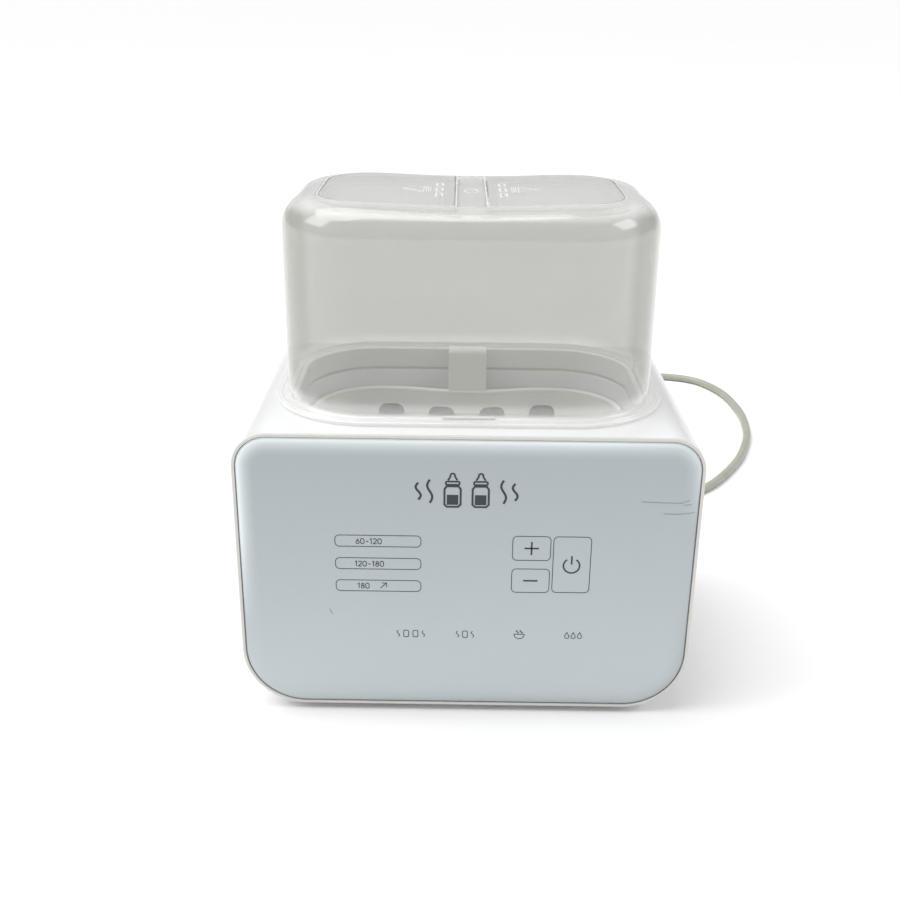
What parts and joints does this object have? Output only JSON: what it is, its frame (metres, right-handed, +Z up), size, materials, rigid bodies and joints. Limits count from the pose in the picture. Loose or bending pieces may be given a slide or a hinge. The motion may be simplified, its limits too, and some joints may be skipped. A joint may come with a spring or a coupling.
{
  "type": "bottle sterilizer",
  "caption": "Countertop electric steam sterilizer and warmer for feeding bottles: white box housing with a touch front panel, translucent lift-off cover with flip-up flaps, lift-out basket.",
  "frame": {"origin": "on the floor, under the middle of the housing's width and of its depth", "axes": "+X to the right seen from the front, -Y towards the front panel, +Z up"},
  "size_m": [0.3273, 0.5038, 0.2318],
  "materials": {
    "housing_white": "glossy moulded white plastic",
    "panel_blue_grey": "glossy pale blue-grey plastic with a fine print",
    "milky_clear": "milky translucent polypropylene",
    "basket_plastic": "satin off-white polypropylene",
    "tank_coating": "pale grey non-stick coating on drawn aluminium",
    "heater_aluminium": "cast aluminium",
    "steel": "zinc-plated steel",
    "heating_tube_metal": "oxidised steel tube",
    "brass": "brass",
    "silicone": "soft translucent silicone",
    "foot_rubber": "light grey rubber",
    "board_green": "glass-epoxy board with green solder mask",
    "black_plastic": "black moulded plastic",
    "yellow_tape": "ferrite core and yellow winding tape",
    "capacitor_sleeve": "dark blue shrink sleeve",
    "relay_blue": "blue moulded case",
    "terminal_green": "green moulded plastic",
    "ceramic": "glazed ceramic body",
    "led_lens": "clear epoxy lens",
    "ribbon_grey": "grey ribbon cable",
    "lead_red": "red silicone sleeving",
    "lead_white": "white insulated wire",
    "lead_blue": "blue insulated wire",
    "cord_beige": "satin grey-beige PVC"
  },
  "bodies": {
    "root": {"housing": "housing_white", "front_panel": "panel_blue_grey", "bottom_plate": "housing_white", "bottom_screws": "steel", "rubber_feet": "foot_rubber", "well_collar": "housing_white", "tank_gasket": "silicone", "water_tank": "tank_coating", "tank_screws": "steel", "heating_plate": "heater_aluminium", "heating_tube": "heating_tube_metal", "heater_clamps": "steel", "heater_screws": "steel", "temperature_sensor": "brass", "thermostat": "black_plastic", "thermal_fuse": "ceramic", "main_board": "board_green", "board_screws": "steel", "transformer": "yellow_tape", "capacitors": "capacitor_sleeve", "relay": "relay_blue", "terminal_block": "terminal_green", "mains_fuse": "ceramic", "control_chip": "black_plastic", "buzzer": "black_plastic", "display_board": "board_green", "display_screws": "steel", "digit_display": "black_plastic", "indicator_leds": "led_lens", "light_guide": "black_plastic", "touch_springs": "brass", "display_ribbon": "ribbon_grey", "heater_leads": "lead_red", "sensor_leads": "lead_white", "mains_leads": "lead_blue", "inner_cord": "cord_beige", "cord_clamp": "housing_white", "clamp_screws": "steel", "strain_relief": "cord_beige", "power_cord": "cord_beige", "cord_coil": "cord_beige", "mains_plug": "cord_beige", "plug_blades": "brass"},
    "cover": {"cover": "milky_clear"},
    "left_flap": {"left_flap": "milky_clear"},
    "right_flap": {"right_flap": "milky_clear"},
    "basket": {"basket": "basket_plastic"}
  },
  "joints": [
    {"name": "cover_lift", "type": "slide", "parent": "root", "child": "cover", "axis": [0, 0, 1], "range_m": [0, 0.13]},
    {"name": "left_flap_hinge", "type": "hinge", "parent": "cover", "child": "left_flap", "pos_m": [-0.0073, 0, 0.2302], "axis": [0, 1, 0], "range_deg": [0, 90]},
    {"name": "right_flap_hinge", "type": "hinge", "parent": "cover", "child": "right_flap", "pos_m": [0.0073, 0, 0.2302], "axis": [0, -1, 0], "range_deg": [0, 90]},
    {"name": "basket_lift", "type": "slide", "parent": "root", "child": "basket", "axis": [0, 0, 1], "range_m": [0, 0.078]}
  ]
}
